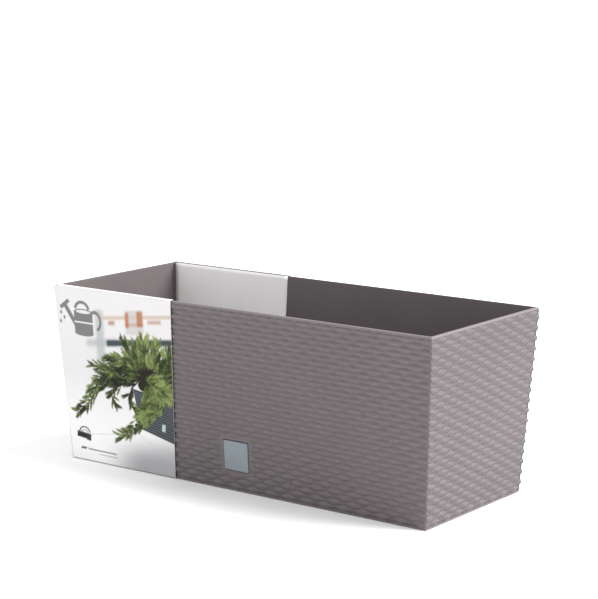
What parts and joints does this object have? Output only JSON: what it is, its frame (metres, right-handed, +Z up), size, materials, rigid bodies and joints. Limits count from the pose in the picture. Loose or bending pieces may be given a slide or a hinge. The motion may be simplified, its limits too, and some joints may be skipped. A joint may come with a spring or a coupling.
{
  "type": "self watering planter",
  "caption": "Long tapered planter box with a moulded rattan weave, a lift-out planting insert over a water reservoir, filler tube, level indicator, felt wicks and a card sleeve.",
  "frame": {"origin": "middle of the base, on the surface that the planter stands on", "axes": "+Z up, +X along the long side, front wall with the square plug at -Y"},
  "size_m": [0.4715, 0.1956, 0.1868],
  "materials": {
    "case": "moulded rattan weave, light taupe",
    "insert": "satin, dark grey",
    "bail": "satin, dark grey",
    "filler": "satin, dark grey",
    "lid": "satin, dark grey",
    "pin": "drawn wire",
    "gauge": "satin, dark grey",
    "window": "clear",
    "foam": "closed-cell foam",
    "rod": "natural white",
    "tip": "red",
    "plug": "satin, blue grey",
    "seal": "moulded",
    "card": "printed white card",
    "felt": "needled felt"
  },
  "bodies": {
    "case": {"outer_case": "case", "sleeve_wrap": "card"},
    "insert": {"planting_insert": "insert", "filler_tube": "filler", "filler_pin": "pin", "level_tube": "gauge", "level_window": "window", "felt_wick_1": "felt", "felt_wick_2": "felt", "felt_wick_3": "felt", "felt_wick_4": "felt"},
    "bail_left": {"lift_bail_left": "bail"},
    "bail_right": {"lift_bail_right": "bail"},
    "lid": {"filler_lid": "lid"},
    "float": {"level_float": "foam", "level_rod": "rod", "level_tip": "tip"},
    "plug": {"overflow_plug": "plug", "overflow_seal": "seal"},
    "front_flap": {"sleeve_front_flap": "card"},
    "back_flap": {"sleeve_back_flap": "card"}
  },
  "joints": [
    {"name": "insert_lift", "type": "slide", "parent": "case", "child": "insert", "axis": [0, 0, 1], "range_m": [0, 0.185]},
    {"name": "bail_left_fold", "type": "hinge", "parent": "insert", "child": "bail_left", "pos_m": [-0.21246, 0, 0.119], "axis": [0, -1, 0], "range_deg": [0, 90]},
    {"name": "bail_right_fold", "type": "hinge", "parent": "insert", "child": "bail_right", "pos_m": [0.21246, 0, 0.119], "axis": [0, 1, 0], "range_deg": [0, 90]},
    {"name": "filler_lid_hinge", "type": "hinge", "parent": "insert", "child": "lid", "pos_m": [0.1965, -0.058, 0.1674], "axis": [0, 1, 0], "range_deg": [0, 110]},
    {"name": "float_rise", "type": "slide", "parent": "insert", "child": "float", "axis": [0, 0, 1], "range_m": [0, 0.018]},
    {"name": "plug_pull", "type": "slide", "parent": "case", "child": "plug", "axis": [0, -0.9979, -0.0644], "range_m": [0, 0.05]},
    {"name": "front_flap_fold", "type": "hinge", "parent": "case", "child": "front_flap", "pos_m": [-0.15, -0.09253, 0.18605], "axis": [1, 0, 0], "range_deg": [0, 180]},
    {"name": "back_flap_fold", "type": "hinge", "parent": "case", "child": "back_flap", "pos_m": [-0.15, 0.09253, 0.18605], "axis": [-1, 0, 0], "range_deg": [0, 180]}
  ]
}
